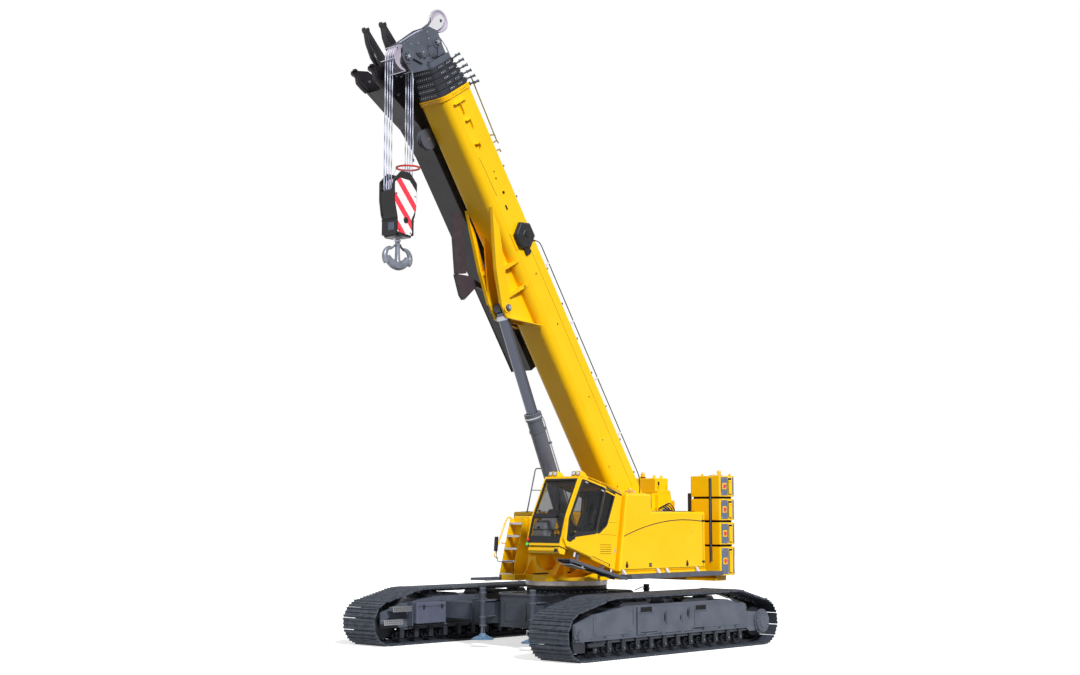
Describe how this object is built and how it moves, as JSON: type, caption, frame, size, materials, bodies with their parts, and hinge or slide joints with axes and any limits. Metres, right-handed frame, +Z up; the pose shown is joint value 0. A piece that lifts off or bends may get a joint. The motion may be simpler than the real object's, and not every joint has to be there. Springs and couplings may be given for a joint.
{
  "type": "telescopic boom crawler crane",
  "caption": "Crawler crane with a luffing telescopic boom, tilting cab, stacked counterweights, hook block and extendable tracks.",
  "frame": {"origin": "on the ground under the slewing axis, midway between the tracks", "axes": "+X to the crane's front, +Y to its left, +Z up"},
  "size_m": [9.1624, 6.36, 12.9177],
  "materials": {
    "crane_yellow": "gloss enamel",
    "steel_grey": "satin paint",
    "track_steel": "worn cast steel",
    "ring_steel": "turned",
    "jack_steel": "worn paint",
    "dark_steel": "satin paint",
    "walk_grey": "anti-slip paint",
    "ladder_alloy": "satin",
    "glazing": "tinted",
    "seat_cloth": "woven",
    "black_plastic": "grained",
    "jib_black": "satin paint",
    "head_grey": "satin paint",
    "sheave_nylon": "cast nylon",
    "rod_chrome": "ground",
    "rope_steel": "greased",
    "block_black": "satin paint",
    "hook_steel": "worn paint"
  },
  "bodies": {
    "undercarriage": {"carbody": "steel_grey", "slew_ring_base": "ring_steel"},
    "track_unit_left": {"side_frame_left": "steel_grey", "track_left": "track_steel", "track_wheels_left": "track_steel"},
    "track_unit_right": {"side_frame_right": "steel_grey", "track_right": "track_steel", "track_wheels_right": "track_steel"},
    "jack_front_left": {"jack_foot_front_left": "jack_steel"},
    "jack_front_right": {"jack_foot_front_right": "jack_steel"},
    "jack_rear_left": {"jack_foot_rear_left": "jack_steel"},
    "jack_rear_right": {"jack_foot_rear_right": "jack_steel"},
    "superstructure": {"turntable": "crane_yellow", "housing_left": "crane_yellow", "housing_right": "crane_yellow", "engine": "dark_steel", "counterweight_left": "crane_yellow", "counterweight_right": "crane_yellow", "rear_block": "crane_yellow", "cab_carrier": "dark_steel", "walkway": "walk_grey", "ladder": "ladder_alloy"},
    "main_winch": {"winch_drum_main": "dark_steel"},
    "aux_winch": {"winch_drum_aux": "dark_steel"},
    "cab": {"cab_shell": "crane_yellow", "cab_glass": "glazing", "cab_seat": "seat_cloth", "cab_console": "black_plastic"},
    "cab_door": {"cab_door": "crane_yellow", "door_glass": "glazing"},
    "boom": {"boom_base": "crane_yellow", "stowed_jib": "jib_black"},
    "section_1": {"boom_section_1": "head_grey"},
    "section_2": {"boom_section_2": "head_grey"},
    "section_3": {"boom_section_3": "head_grey"},
    "section_4": {"boom_section_4": "head_grey"},
    "section_5": {"boom_section_5": "head_grey", "boom_head": "head_grey"},
    "main_sheaves": {"head_sheaves": "sheave_nylon"},
    "aux_sheave": {"rooster_sheave": "sheave_nylon"},
    "luff_barrel": {"luff_barrel": "dark_steel"},
    "luff_rod": {"luff_rod": "rod_chrome"},
    "falls": {"rope_falls": "rope_steel"},
    "hook_block": {"hook_block": "block_black"},
    "hook": {"hook": "hook_steel"}
  },
  "joints": [
    {"name": "slew", "type": "hinge", "parent": "undercarriage", "child": "superstructure", "pos_m": [0, 0, 1.3], "axis": [0, 0, 1], "continuous": true},
    {"name": "track_widen_left", "type": "slide", "parent": "undercarriage", "child": "track_unit_left", "axis": [0, 1, 0], "range_m": [-0.9, 0]},
    {"name": "track_widen_right", "type": "slide", "parent": "undercarriage", "child": "track_unit_right", "axis": [0, -1, 0], "range_m": [-0.9, 0]},
    {"name": "jack_front_left_slide", "type": "slide", "parent": "undercarriage", "child": "jack_front_left", "axis": [0, 0, -1], "range_m": [0, 0.45]},
    {"name": "jack_front_right_slide", "type": "slide", "parent": "undercarriage", "child": "jack_front_right", "axis": [0, 0, -1], "range_m": [0, 0.45]},
    {"name": "jack_rear_left_slide", "type": "slide", "parent": "undercarriage", "child": "jack_rear_left", "axis": [0, 0, -1], "range_m": [0, 0.45]},
    {"name": "jack_rear_right_slide", "type": "slide", "parent": "undercarriage", "child": "jack_rear_right", "axis": [0, 0, -1], "range_m": [0, 0.45]},
    {"name": "main_winch_turn", "type": "hinge", "parent": "superstructure", "child": "main_winch", "pos_m": [-2.7, 0, 1.98], "axis": [0, 1, 0], "continuous": true},
    {"name": "aux_winch_turn", "type": "hinge", "parent": "superstructure", "child": "aux_winch", "pos_m": [-2.82, 0, 2.64], "axis": [0, 1, 0], "continuous": true},
    {"name": "cab_tilt", "type": "hinge", "parent": "superstructure", "child": "cab", "pos_m": [0.32377, 1.05, 1.54648], "axis": [0, 1, 0], "range_deg": [0, 18]},
    {"name": "cab_door_slide", "type": "slide", "parent": "cab", "child": "cab_door", "axis": [-0.9511, 0, -0.309], "range_m": [0, 0.58]},
    {"name": "luff", "type": "hinge", "parent": "superstructure", "child": "boom", "pos_m": [-1.986, 0, 2.652], "axis": [0, -1, 0], "range_deg": [-56.3, 23.7]},
    {"name": "luff_barrel_turn", "type": "hinge", "parent": "superstructure", "child": "luff_barrel", "pos_m": [-0.333, 0, 1.716], "axis": [0, -1, 0], "range_deg": [-60.5, 25.6]},
    {"name": "luff_rod_slide", "type": "slide", "parent": "luff_barrel", "child": "luff_rod", "axis": [0.4097, 0, 0.9122], "range_m": [-1.7, 0.72]},
    {"name": "section_1_slide", "type": "slide", "parent": "boom", "child": "section_1", "axis": [0.5548, 0, 0.832], "range_m": [0, 8.2]},
    {"name": "section_2_slide", "type": "slide", "parent": "section_1", "child": "section_2", "axis": [0.5548, 0, 0.832], "range_m": [0, 8.2]},
    {"name": "section_3_slide", "type": "slide", "parent": "section_2", "child": "section_3", "axis": [0.5548, 0, 0.832], "range_m": [0, 8.2]},
    {"name": "section_4_slide", "type": "slide", "parent": "section_3", "child": "section_4", "axis": [0.5548, 0, 0.832], "range_m": [0, 8.2]},
    {"name": "section_5_slide", "type": "slide", "parent": "section_4", "child": "section_5", "axis": [0.5548, 0, 0.832], "range_m": [0, 8.2]},
    {"name": "main_sheaves_turn", "type": "hinge", "parent": "section_5", "child": "main_sheaves", "pos_m": [4.90328, 0, 11.66995], "axis": [0, 1, 0], "continuous": true},
    {"name": "aux_sheave_turn", "type": "hinge", "parent": "section_5", "child": "aux_sheave", "pos_m": [3.86228, 0, 12.68274], "axis": [0, 1, 0], "continuous": true},
    {"name": "falls_hang", "type": "hinge", "parent": "section_5", "child": "falls", "pos_m": [4.90328, 0, 11.66995], "axis": [0, -1, 0], "range_deg": [-24, 56.5]},
    {"name": "hoist", "type": "slide", "parent": "falls", "child": "hook_block", "axis": [0, 0, 1], "range_m": [0, 0.9], "deforming": ["rope_falls"]},
    {"name": "hook_turn", "type": "hinge", "parent": "hook_block", "child": "hook", "pos_m": [4.90328, 0, 7.70295], "axis": [0, 0, 1], "continuous": true}
  ],
  "couplings": [
    {"joint": "luff_barrel_turn", "follows": "luff", "ratio": 1.0695},
    {"joint": "luff_rod_slide", "follows": "luff", "m_per_rad": 1.7122},
    {"joint": "falls_hang", "follows": "luff", "ratio": -1},
    {"joint": "section_2_slide", "follows": "section_1_slide", "ratio": 1},
    {"joint": "section_3_slide", "follows": "section_1_slide", "ratio": 1},
    {"joint": "section_4_slide", "follows": "section_1_slide", "ratio": 1},
    {"joint": "section_5_slide", "follows": "section_1_slide", "ratio": 1}
  ]
}
